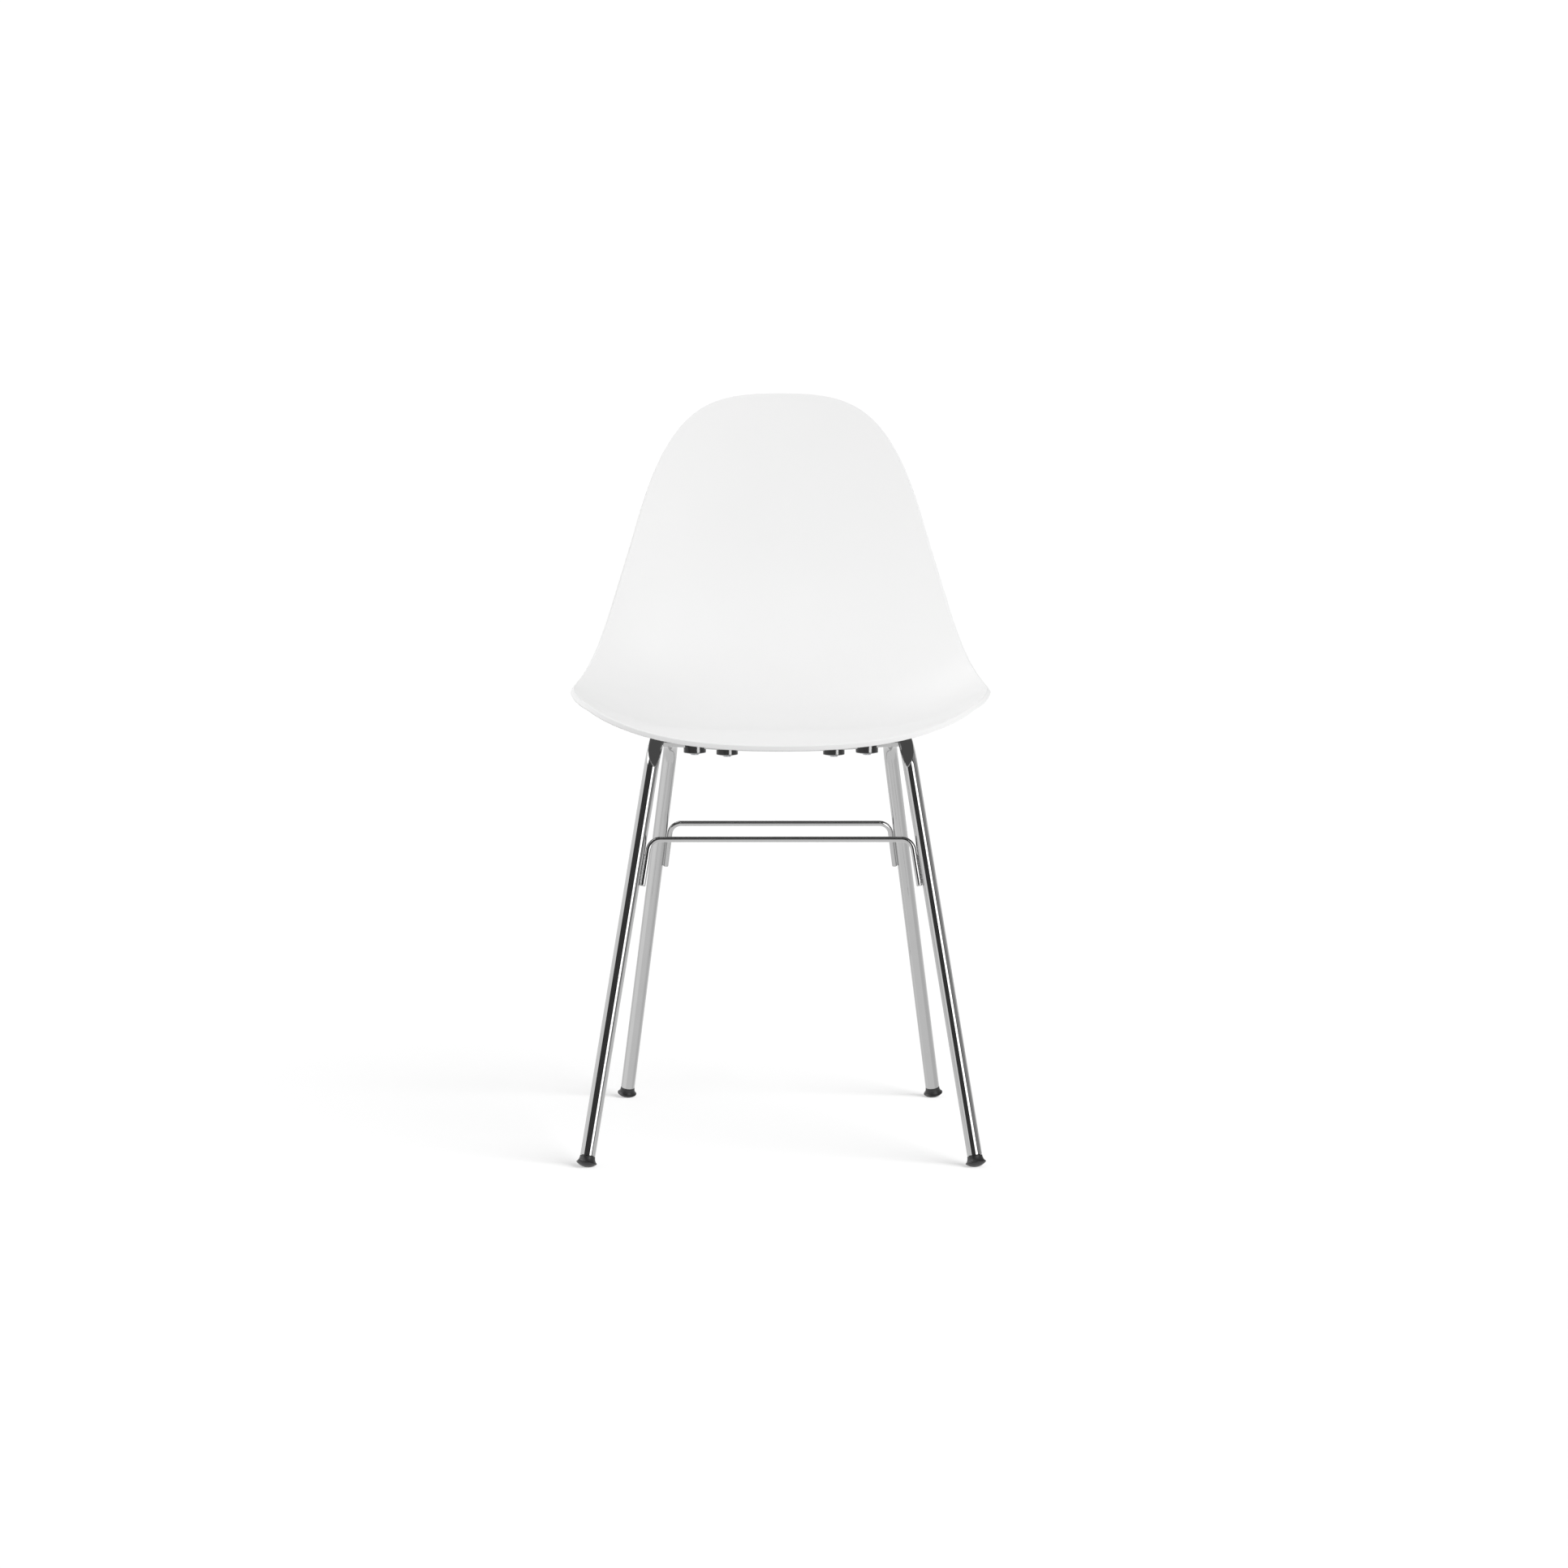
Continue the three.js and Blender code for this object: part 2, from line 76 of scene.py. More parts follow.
# Seat shell: the spine's slope in degrees, its curl and the curl's exponent along the spine.
SHELL_THICKNESS = 6
SHELL_FRONT = (-245.7, 443.4)
SPINE_LENGTH = 755.9
SPINE_STEPS = 600
SPINE_SLOPE = [(0, 17.5), (90, -4.6), (251.5, -4.6), (492.6, 78), (SPINE_LENGTH, 71)]
SHELL_CURL = [(0, 13.7), (130, 34.9), (260, 41.2), (450, 48.5), (SPINE_LENGTH, 40)]
SHELL_CURL_POWER = [(260, 3.7), (560, 2.2)]
SHELL_HALF_REFERENCE = 220
SHELL_WIDEST = (232.8, 291.7)
SHELL_WAIST = (162.7, 601.6)
WAIST_SLANT = math.radians(14.9)
OUTLINE_HANDLES = {"front": 172.3, "side": 198.4, "flare": 85.5, "lower": 127.7, "upper": 145.3, "top": 78.8}
SHELL_GRID = (88, 150)  # faces across and along
FRONT_CORNER = 0.5  # share of the first outline curve where the grid has its corner
TOP_CORNER = 0.5  # the same on the last outline curve
OUTLINE_POINTS = 400  # on each outline curve
PROBE = 0.5  # how far apart points are taken to find a direction, to each side
HEIGHT_ROUNDS = 12  # of the search for the shell's height over a place
RIM_CORNER = 1.1  # radius between the flat rim and the shell's two faces

# Tube frame and stretcher rods.
TUBE_RADIUS = 8
TUBE_WALL = 1.5
TUBE_SIDES = 48
TUBE_END = 12.5  # of a leg, above the floor along its axis
TUBE_CHAMFER = 0.4
FRONT_FOOT = Vector((206, -233.7, 0))
FRONT_KNEE = Vector((133.8, -139, 445.5))
REAR_FOOT = Vector((180, 206.3, 0))
REAR_KNEE = Vector((123.2, 104.4, 427))
KNEE_RADIUS = 36
BEND_STEPS = 24
ROD_RADIUS = 3
ROD_SIDES = 32
ROD_NOSE = 0.9  # radius round the rod's cut ends
NOSE_POINTS = 5
ROD_BEND_RADIUS = 13
FRONT_ROD = {"height": 340, "end": 291}
REAR_ROD = {"height": 329.4, "end": 279}

# Weld beads. The rods' beads are each (place behind the legs' axes, radius), and the straps' beads
# (height over the strap's underside, depth from the rail's surface).
BEAD_SIDES = 14
BEAD_PITCH = 2.2  # from ripple to ripple
BEAD_RINGS = 4  # to each ripple
BEAD_END = 1.5  # length of a bead's rounded end, in its radii
BEAD_TIP = 0.04  # square of the least share of its radius, at the very end
ROD_BEADS = [(1.7, 0.9), (-1.2, 0.8)]
ROD_BEAD_OUT = 0.25  # from the leg's surface
ROD_BEAD_LOW = 3  # from the rod's end
ROD_BEAD_HIGH = 2  # from the rod's bend
STRAP_BEAD_RADIUS = 1.3
STRAP_BEAD_RIPPLE = 0.12
STRAP_BEAD_MARGIN = 1  # from the strap's edges

# Cross straps, with the pads, screws and bosses on them.
STRAP_WIDTH = 12
STRAP_THICKNESS = 4.5
STRAP_CORNER = 0.6
STRAP_STATIONS = 61
STRAP_RISE = 6  # from the middle to the rails
STRAP_BEADS = [(-0.2, 0.4), (STRAP_THICKNESS + 0.2, 0.5)]
FRONT_STRAP = {"name": "front", "y": -103.7, "underside": 430.5, "fastener": 92.9}
REAR_STRAP = {"name": "rear", "y": 36.3, "underside": 419.2, "fastener": 59.6}
PAD_RADIUS = 12.1
PAD_EDGE_DEPTH = 4.9
PAD_TIP_DEPTH = 7.5
PAD_LIP_CORNER = 0.5
PAD_EDGE_CORNER = 0.45
CHANNEL_STATIONS = 9  # of the cut for the strap
SCREW_RADIUS = 2.5
SCREW_TIP_CHAMFER = 0.8
SCREW_HEAD_RADIUS = 4.4
SCREW_HEAD_HEIGHT = 1.6
SCREW_HEAD_EDGE = 0.9  # between the head's outside and its flat face
SCREW_HEAD_CORNER = 0.7
SCREW_HEAD_PROUD = 0.9  # how far the head stands out of its pad
CROSS_MARGIN = 1.6  # between the cross recess and the head's outside
CROSS_HALF_WIDTH = 0.5
CROSS_DEPTH = 1
BOSS_RADIUS = 11
BOSS_CHAMFER = 0.6
BOSS_FILLET = 4
FILLET_POINTS = 7
INSERT_SKIN = 2.2  # of shell over an insert

# Turned parts. The glide's flare curves from its lip past the knee up to the tube's line.
ROUND_SIDES = 64
GLIDE = {"radius": 11, "rim": 4.5, "lip": 5.2, "stem": 18, "chamfer": 1, "knee": (8.3, 6.9), "corner": 0.3}
DOME_START = 0.02  # angle of the dome's first ring, in radians
DOME_POINTS = 14
FLARE_POINTS = 12


# ---- materials ----

NOISE_LOW, NOISE_HIGH = 0.3, 0.7  # where most of a noise value's range lies


class Nodes:
    """Short way to add nodes to a material or world tree."""

    def __init__(self, tree):
        self.tree = tree

    def add(self, kind, inputs=(), **settings):
        """New node. An input is linked if it is given a socket, and set if it is given a value."""
        node = self.tree.nodes.new(kind)
        for key, value in settings.items():
            setattr(node, key, value)
        for key, value in dict(inputs).items():
            if isinstance(value, bpy.types.NodeSocket):
                self.tree.links.new(value, node.inputs[key])
            else:
                node.inputs[key].default_value = value
        return node


def new_material(name, base, roughness, metallic=0.0, specular=0.5):
    """Principled material with these uniform values, and its node helper and shader."""
    material = bpy.data.materials.new(name)
    material.use_nodes = True
    nodes = Nodes(material.node_tree)
    shader = material.node_tree.nodes["Principled BSDF"]
    shader.inputs["Base Color"].default_value = (*base, 1)
    shader.inputs["Roughness"].default_value = roughness
    shader.inputs["Metallic"].default_value = metallic
    shader.inputs["Specular IOR Level"].default_value = specular
    return material, nodes, shader


def noise(nodes, scale, detail, stretch=(1, 1, 1)):
    """Noise in the object's own space, scale per metre."""
    place = nodes.add("ShaderNodeTexCoord").outputs["Object"]
    mapped = nodes.add("ShaderNodeMapping", {"Vector": place, "Scale": stretch})
    texture = nodes.add(
        "ShaderNodeTexNoise", {"Vector": mapped.outputs["Vector"], "Scale": scale, "Detail": detail}
    )
    return texture.outputs["Fac"]


def vary_roughness(nodes, shader, value, low, high):
    """Spreads the roughness from low to high, by a noise value."""
    ranged = nodes.add(
        "ShaderNodeMapRange",
        {"Value": value, "From Min": NOISE_LOW, "From Max": NOISE_HIGH, "To Min": low, "To Max": high},
    )
    nodes.tree.links.new(ranged.outputs["Result"], shader.inputs["Roughness"])


def vary_colour(nodes, shader, value, dark, light):
    """Blends the base colour between two close tones, by a noise value."""
    mix = nodes.add("ShaderNodeMix", data_type="RGBA")
    nodes.tree.links.new(value, mix.inputs["Factor"])
    mix.inputs[6].default_value = (*dark, 1)
    mix.inputs[7].default_value = (*light, 1)
    nodes.tree.links.new(mix.outputs[2], shader.inputs["Base Color"])


def bumps(nodes, shader, layers):
    """Chains bump nodes, one for each (height value, distance in metres, strength)."""
    before = None
    for height, distance, strength in layers:
        inputs = {"Height": height, "Distance": distance, "Strength": strength}
        if before is not None:
            inputs["Normal"] = before
        before = nodes.add("ShaderNodeBump", inputs).outputs["Normal"]
    nodes.tree.links.new(before, shader.inputs["Normal"])


def shell_material():
    """White moulded polypropylene: satin, with a fine spark-eroded grain."""
    material, nodes, shader = new_material("shell_white", (0.84, 0.84, 0.838), 0.45, specular=0.4)
    vary_colour(nodes, shader, noise(nodes, 9, 2), (0.832, 0.832, 0.83), (0.848, 0.848, 0.847))
    vary_roughness(nodes, shader, noise(nodes, 60, 3), 0.42, 0.5)
    grain, waves = noise(nodes, 1500, 2), noise(nodes, 14, 1)
    bumps(nodes, shader, [(grain, 0.00004, 0.5), (waves, 0.0004, 0.1)])
    return material


def chrome_material():
    """Bright chrome plate on drawn steel tube: fine polishing marks and a faint haze."""
    material, nodes, shader = new_material("chrome", (0.5, 0.5, 0.5), 0.05, metallic=1.0)
    vary_colour(nodes, shader, noise(nodes, 45, 4), (0.485, 0.485, 0.485), (0.515, 0.515, 0.515))
    vary_roughness(nodes, shader, noise(nodes, 120, 4), 0.035, 0.075)
    marks = noise(nodes, 700, 3, stretch=(1, 1, 0.05))
    bumps(nodes, shader, [(marks, 0.000002, 0.4)])
    return material


def glide_material():
    """Black moulded nylon of the foot glides, scuffed a little duller in patches."""
    material, nodes, shader = new_material("glide_black", (0.016, 0.016, 0.017), 0.4)
    scuffs = noise(nodes, 260, 4)
    vary_colour(nodes, shader, scuffs, (0.012, 0.012, 0.013), (0.024, 0.024, 0.025))
    vary_roughness(nodes, shader, scuffs, 0.32, 0.52)
    bumps(nodes, shader, [(noise(nodes, 2200, 2), 0.00003, 0.4)])
    return material


def pad_material():
    """Black rubber of the stacking pads, smooth from its mould."""
    material, nodes, shader = new_material("pad_black", (0.013, 0.013, 0.014), 0.13)
    patches = noise(nodes, 180, 3)
    vary_colour(nodes, shader, patches, (0.010, 0.010, 0.011), (0.019, 0.019, 0.020))
    vary_roughness(nodes, shader, patches, 0.1, 0.16)
    bumps(nodes, shader, [(noise(nodes, 1800, 2), 0.00002, 0.4)])
    return material


def metal_material(name, dark, light, rough_low, rough_high):
    """Plated or turned metal of the small fasteners, with turning marks."""
    material, nodes, shader = new_material(name, light, rough_high, metallic=1.0)
    patches = noise(nodes, 900, 3)
    vary_colour(nodes, shader, patches, dark, light)
    vary_roughness(nodes, shader, patches, rough_low, rough_high)
    bumps(nodes, shader, [(noise(nodes, 4000, 2, stretch=(1, 1, 8)), 0.00002, 0.5)])
    return material


SHELL = shell_material()
CHROME = chrome_material()
GLIDE_BLACK = glide_material()
PAD_BLACK = pad_material()
ZINC = metal_material("zinc", (0.42, 0.43, 0.45), (0.58, 0.59, 0.61), 0.22, 0.4)
BRASS = metal_material("brass", (0.62, 0.46, 0.2), (0.72, 0.56, 0.27), 0.25, 0.42)


# ---- mesh helpers ----

SHARP_ANGLE = math.radians(38)  # edges that turn more than this aren't shaded smooth
HOLD = 1.12  # place of the holding points beside a rounded corner, in corner radii
CORNER_POINTS = 6


def solid_mesh(name, points, faces):
    """Mesh in metres from points in millimetres, with its faces turned outwards."""
    mesh = bpy.data.meshes.new(name)
    mesh.from_pydata([tuple(p) for p in np.asarray(points, float) * MM], [], faces)
    work = bmesh.new()
    work.from_mesh(mesh)
    bmesh.ops.recalc_face_normals(work, faces=work.faces)
    work.to_mesh(mesh)
    work.free()
    return mesh


def add_piece(name, points, faces, material, slot, nodes=()):
    """Makes a piece from points in millimetres, rides it on the body, and replaces its CAD nodes."""
    mesh = solid_mesh(name, points, faces)
    mesh.materials.append(material)
    mesh.polygons.foreach_set("use_smooth", [True] * len(mesh.polygons))
    mesh.set_sharp_from_angle(angle=SHARP_ANGLE)
    piece = bpy.data.objects.new(name, mesh)
    bpy.context.scene.collection.objects.link(piece)
    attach(piece, "root")
    if nodes:
        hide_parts(*nodes)
    return piece


def ring_faces(rings, sides, closed=False):
    """Quads between consecutive rings of points, and from the last to the first if closed."""
    faces = []
    for i in range(rings if closed else rings - 1):
        a, b = i * sides, (i + 1) % rings * sides
        for j in range(sides):
            k = (j + 1) % sides
            faces.append((a + j, a + k, b + k, b + j))
    return faces


def bar_faces(rings, sides):
    """Faces of a solid bar: quads between its rings of points, and one face over each end."""
    end = rings * sides
    return ring_faces(rings, sides) + [tuple(range(sides)), tuple(range(end - sides, end))]


def grid_faces(rows, columns):
    """Quads of a grid of points, numbered row by row."""
    first = [i * columns + j for i in range(rows - 1) for j in range(columns - 1)]
    return [(a, a + 1, a + columns + 1, a + columns) for a in first]


def joined(solids):
    """One set of points and faces from several."""
    points, faces = [], []
    for some, some_faces in solids:
        shift = len(points)
        points += [tuple(p) for p in some]
        faces += [tuple(k + shift for k in face) for face in some_faces]
    return points, faces


def turned(profile):
    """Points and faces of a lathe on the Z axis from (radius, height) points, closed by end faces."""
    turns = np.arange(ROUND_SIDES) * 2 * math.pi / ROUND_SIDES
    points = [(r * math.cos(t), r * math.sin(t), h) for r, h in profile for t in turns]
    return np.array(points), bar_faces(len(profile), ROUND_SIDES)


def rounded(profile, corners):
    """Replaces the numbered corners of a profile with small arcs, given as {index: radius}.

    A point just outside each end of an arc keeps the flats beside it flat under smooth shading.
    """
    result = []
    for i, point in enumerate(profile):
        here = np.array(point, float)
        radius = corners.get(i, 0)
        if not radius:
            result.append(tuple(here))
            continue
        back = np.array(profile[i - 1], float) - here
        on = np.array(profile[(i + 1) % len(profile)], float) - here
        back *= radius / np.linalg.norm(back)
        on *= radius / np.linalg.norm(on)
        result.append(tuple(here + back * HOLD))
        for t in np.linspace(0, 1, CORNER_POINTS):
            result.append(tuple(here + (1 - t) ** 2 * back + t ** 2 * on))
        result.append(tuple(here + on * HOLD))
    return result


def rounded_path(corners, radius):
    """Points along straight stretches joined by bends of the given radius."""
    points = [corners[0]]
    for before, here, after in zip(corners, corners[1:], corners[2:]):
        into = (here - before).normalized()
        out = (after - here).normalized()
        turn = into.angle(out)
        start = here - into * radius * math.tan(turn / 2)
        towards = (out - into * into.dot(out)).normalized()
        for k in range(BEND_STEPS + 1):
            angle = turn * k / BEND_STEPS
            points.append(start + into * radius * math.sin(angle) + towards * radius * (1 - math.cos(angle)))
    points.append(corners[-1])
    return points


def path_frames(points):
    """Two cross directions, which don't twist along the path, and the path's direction at each point."""
    count = len(points)
    tangents = [(points[min(i + 1, count - 1)] - points[max(i - 1, 0)]).normalized() for i in range(count)]
    tangents[0] = (points[1] - points[0]).normalized()
    across = tangents[0].orthogonal().normalized()
    frames = []
    for i, tangent in enumerate(tangents):
        if i:
            across = tangents[i - 1].rotation_difference(tangent) @ across
        across = (across - tangent * across.dot(tangent)).normalized()
        frames.append((across, tangent.cross(across), tangent))
    return frames


def ring_at(centre, path_frame, radius, sides):
    """Circle of points round a centre, across a path."""
    across, up, _ = path_frame
    turns = np.arange(sides) * 2 * math.pi / sides
    return [centre + across * radius * math.cos(t) + up * radius * math.sin(t) for t in turns]


def mirror_x(v, side):
    """The same place for side 1, and its mirror image for side -1."""
    return Vector((v.x * side, v.y, v.z))


def along_leg(foot, top, distance):
    """Place on a leg's axis at a distance from its foot."""
    return foot + (top - foot).normalized() * distance


# ---- seat shell ----

def keyed(keys, x):
    """Value at x of a chain of keys joined by smooth steps."""
    x = np.asarray(x, float)
    value = np.full(x.shape, float(keys[0][1]))
    for (start, before), (end, after) in zip(keys, keys[1:]):
        t = np.clip((x - start) / (end - start), 0, 1)
        value = value + (after - before) * t * t * (3 - 2 * t)
    return value


def make_spine():
    """Spine points (y, z), one step apart, from the front edge to the top edge."""
    step = SPINE_LENGTH / SPINE_STEPS
    slopes = np.radians(keyed(SPINE_SLOPE, (np.arange(SPINE_STEPS) + 0.5) * step))
    moves = np.stack([np.cos(slopes), np.sin(slopes)], axis=1) * step
    return np.vstack([SHELL_FRONT, np.array(SHELL_FRONT) + np.cumsum(moves, axis=0)])


SPINE = make_spine()


def shell_point(side, along):
    """Points of the shell's middle surface for places on its flat outline."""
    stations = np.linspace(0, SPINE_LENGTH, SPINE_STEPS + 1)
    on_y = np.interp(along, stations, SPINE[:, 0])
    on_z = np.interp(along, stations, SPINE[:, 1])
    slope = np.radians(keyed(SPINE_SLOPE, along))
    ratio = np.abs(side) / SHELL_HALF_REFERENCE
    curl = keyed(SHELL_CURL, along) * ratio ** keyed(SHELL_CURL_POWER, along)
    return np.stack([side, on_y - np.sin(slope) * curl, on_z + np.cos(slope) * curl], axis=-1)


def unit(vectors):
    """The same directions with length 1."""
    return vectors / np.linalg.norm(vectors, axis=-1, keepdims=True)


def shell_normal(side, along):
    """Unit normals of the middle surface, towards the sitter."""
    across = shell_point(side + PROBE, along) - shell_point(side - PROBE, along)
    onward = shell_point(side, along + PROBE) - shell_point(side, along - PROBE)
    return unit(np.cross(across, onward))


def bezier(a, b, c, d):
    """Points of a cubic curve from a to d with the handles b and c."""
    t = np.linspace(0, 1, OUTLINE_POINTS)[:, None]
    a, b, c, d = (np.array(p, float) for p in (a, b, c, d))
    return (1 - t) ** 3 * a + 3 * t * (1 - t) ** 2 * b + 3 * t ** 2 * (1 - t) * c + t ** 3 * d


def half_outline():
    """Left half of the flat outline, and the distances along it of the grid's two corners."""
    h = OUTLINE_HANDLES
    slant = np.array((-math.sin(WAIST_SLANT), math.cos(WAIST_SLANT)))
    widest, waist = np.array(SHELL_WIDEST), np.array(SHELL_WAIST)
    curves = [
        bezier((0, 0), (h["front"], 0), (widest[0], widest[1] - h["side"]), widest),
        bezier(widest, (widest[0], widest[1] + h["flare"]), waist - slant * h["lower"], waist),
        bezier(waist, waist + slant * h["upper"], (h["top"], SPINE_LENGTH), (0, SPINE_LENGTH)),
    ]
    points = np.vstack([curves[0], curves[1][1:], curves[2][1:]])
    distance = np.concatenate([[0], np.cumsum(np.linalg.norm(np.diff(points, axis=0), axis=1))])
    first = int(len(curves[0]) * FRONT_CORNER)
    second = len(curves[0]) + len(curves[1]) - 2 + int(len(curves[2]) * TOP_CORNER)
    return points, distance, distance[first], distance[second]


def outline_at(points, distance, where, sign):
    """Outline point and outward direction at a distance along the half outline."""
    def place(far):
        return np.stack([np.interp(far, distance, points[:, k]) for k in (0, 1)], axis=-1)

    run = unit(place(where + PROBE) - place(where - PROBE))
    outward = np.stack([run[..., 1], -run[..., 0]], axis=-1)
    flip = np.array((sign, 1.0)) if np.isscalar(sign) else np.stack([sign, np.ones_like(sign)], axis=-1)
    return place(where) * flip, outward * flip


def shell_grid():
    """Flat places of the shell's grid, set in from the outline by half the thickness."""
    across, lengthwise = SHELL_GRID
    points, distance, front, top = half_outline()
    end = distance[-1]
    reach = SHELL_THICKNESS / 2
    u = np.linspace(0, 1, across + 1)
    v = np.linspace(0, 1, lengthwise + 1)
    signs = np.where(u < 0.5, -1.0, 1.0)

    def edge(where, sign):
        at, outward = outline_at(points, distance, where, sign)
        return at - outward * reach, outward

    low, low_out = edge(np.abs(2 * u - 1) * front, signs)
    high, high_out = edge(end - np.abs(2 * u - 1) * (end - top), signs)
    left, left_out = edge(front + v * (top - front), 1.0)
    right, right_out = edge(front + v * (top - front), -1.0)
    ku, kv = u[None, :, None], v[:, None, None]
    flat = (1 - kv) * low[None] + kv * high[None] + (1 - ku) * right[:, None] + ku * left[:, None]
    flat = flat - (1 - ku) * (1 - kv) * low[0] - ku * (1 - kv) * low[-1]
    flat = flat - (1 - ku) * kv * high[0] - ku * kv * high[-1]
    outward = np.zeros_like(flat)
    outward[0], outward[-1] = low_out, high_out
    outward[1:-1, 0], outward[1:-1, -1] = right_out[1:-1], left_out[1:-1]
    return flat, outward


def border_loop(rows, columns):
    """Index pairs round the edge of the grid, anticlockwise."""
    loop = [(0, j) for j in range(columns - 1)]
    loop += [(i, columns - 1) for i in range(rows - 1)]
    loop += [(rows - 1, j) for j in range(columns - 1, 0, -1)]
    loop += [(i, 0) for i in range(rows - 1, 0, -1)]
    return loop


def shell_mesh():
    """Sitting face, underside and flat rim of the shell, the rim's two corners a little rounded."""
    flat, outward = shell_grid()
    rows, columns = flat.shape[:2]
    reach = SHELL_THICKNESS / 2
    middle = shell_point(flat[..., 0], flat[..., 1])
    normal = shell_normal(flat[..., 0], flat[..., 1])
    count = rows * columns
    points = [(middle + normal * reach).reshape(-1, 3), (middle - normal * reach).reshape(-1, 3)]
    faces = grid_faces(rows, columns)
    faces += [tuple(count + k for k in reversed(quad)) for quad in faces]
    loop = border_loop(rows, columns)
    pick = tuple(np.array(loop).T)
    root, up = middle[pick], normal[pick]
    edge = flat[pick] + outward[pick] * reach
    away = unit(shell_point(edge[:, 0], edge[:, 1]) - root)
    away = unit(away - up * np.sum(away * up, axis=1, keepdims=True))
    corners = [(0, reach), (reach, reach), (reach, -reach), (0, -reach)]
    section = rounded(corners, {1: RIM_CORNER, 2: RIM_CORNER})[1:-1]
    points += [root + away * out + up * high for out, high in section]
    around = len(loop)
    rings = [[i * columns + j for i, j in loop]]
    rings += [list(range(2 * count + k * around, 2 * count + (k + 1) * around)) for k in range(len(section))]
    rings.append([count + i * columns + j for i, j in loop])
    for one, two in zip(rings, rings[1:]):
        for k in range(around):
            n = (k + 1) % around
            faces.append((one[k], two[k], two[n], one[n]))
    return np.vstack(points), faces


def rail_side(y):
    """Sideways place of the rail's axis."""
    share = (y - FRONT_KNEE.y) / (REAR_KNEE.y - FRONT_KNEE.y)
    return FRONT_KNEE.x + (REAR_KNEE.x - FRONT_KNEE.x) * share


def rail_height(y):
    """Height of the rail's axis."""
    share = (y - FRONT_KNEE.y) / (REAR_KNEE.y - FRONT_KNEE.y)
    return FRONT_KNEE.z + (REAR_KNEE.z - FRONT_KNEE.z) * share


def strap_underside(strap, x):
    """Height of a strap's lower face."""
    return strap["underside"] + STRAP_RISE * (x / rail_side(strap["y"])) ** 2


def shell_height(x, y):
    """Height of the shell's middle surface above a place under the seat."""
    along = np.asarray(y, float) - SHELL_FRONT[0]
    for _ in range(HEIGHT_ROUNDS):
        along = along + (y - shell_point(x, along)[..., 1])
    return shell_point(x, along)[..., 2]


FASTENERS = [
    (f"{strap['name']}_{hand}", strap, side * strap["fastener"])
    for strap in (FRONT_STRAP, REAR_STRAP)
    for hand, side in (("left", 1), ("right", -1))
]


def boss_mesh(strap, x):
    """Round boss under the shell, with a fillet where it grows out of the underside."""
    low = strap_underside(strap, x) + STRAP_THICKNESS + GAP
    root = shell_height(np.array([x]), np.array([strap["y"]]))[0] - SHELL_THICKNESS / 2
    profile = [(BOSS_RADIUS - BOSS_CHAMFER, low), (BOSS_RADIUS, low + BOSS_CHAMFER)]
    base = len(profile)
    for turn in np.linspace(0, math.pi / 2, FILLET_POINTS):
        flare = BOSS_FILLET * (1 - math.cos(turn))
        profile.append((BOSS_RADIUS + flare, root - BOSS_FILLET * (1 - math.sin(turn))))
    points, faces = turned(profile)
    points[:, 0] += x
    points[:, 1] += strap["y"]
    edge = points[-ROUND_SIDES:]
    under = shell_height(edge[:, 0], edge[:, 1]) - SHELL_THICKNESS / 2 + GAP
    for ring in range(base, len(profile)):
        share = (ring - base) / (FILLET_POINTS - 1)
        band = points[ring * ROUND_SIDES:(ring + 1) * ROUND_SIDES]
        band[:, 2] += (under - root) * share
    return points, faces


def make_shell():
    """Shell with the four bosses for the pads' screws."""
    points, faces = joined([shell_mesh()] + [boss_mesh(strap, x) for _, strap, x in FASTENERS])
    add_piece("seat_shell_moulded", points, faces, SHELL, "shell", ["seat_shell"])


# ---- frame ----

def side_corners(side):
    """Ends and knees of a side tube's axis."""
    front = along_leg(FRONT_FOOT, FRONT_KNEE, TUBE_END)
    rear = along_leg(REAR_FOOT, REAR_KNEE, TUBE_END)
    return [mirror_x(p, side) for p in (front, FRONT_KNEE, REAR_KNEE, rear)]


def make_side_tube(hand, side):
    """Front leg, rail and rear leg: one hollow tube with chamfered ends."""
    path = rounded_path(side_corners(side), KNEE_RADIUS)
    frames = path_frames(path)
    last = len(path) - 1
    face_radius = TUBE_RADIUS - TUBE_CHAMFER
    rings = [ring_at(path[0], frames[0], face_radius, TUBE_SIDES)]
    rings.append(ring_at(path[0] + frames[0][2] * TUBE_CHAMFER, frames[0], TUBE_RADIUS, TUBE_SIDES))
    for i in range(1, last):
        rings.append(ring_at(path[i], frames[i], TUBE_RADIUS, TUBE_SIDES))
    rings.append(ring_at(path[last] - frames[last][2] * TUBE_CHAMFER, frames[last], TUBE_RADIUS, TUBE_SIDES))
    rings.append(ring_at(path[last], frames[last], face_radius, TUBE_SIDES))
    for i in range(last, -1, -1):
        rings.append(ring_at(path[i], frames[i], TUBE_RADIUS - TUBE_WALL, TUBE_SIDES))
    points = [p for ring in rings for p in ring]
    faces = ring_faces(len(rings), TUBE_SIDES, closed=True)
    add_piece(f"side_tube_{hand}_bent", points, faces, CHROME, "chrome", [f"side_tube_{hand}"])


def rod_corners(foot, top, rod):
    """Corner points of a stretcher: its ends lie along the inner sides of the legs."""
    leg = top - foot
    inward = Vector((-leg.z, 0, leg.x)).normalized() * (TUBE_RADIUS + ROD_RADIUS + GAP)

    def beside(height):
        return foot + leg * ((height - inward.z - foot.z) / leg.z) + inward

    left = [beside(rod["end"]), beside(rod["height"])]
    return left + [mirror_x(p, -1) for p in reversed(left)]


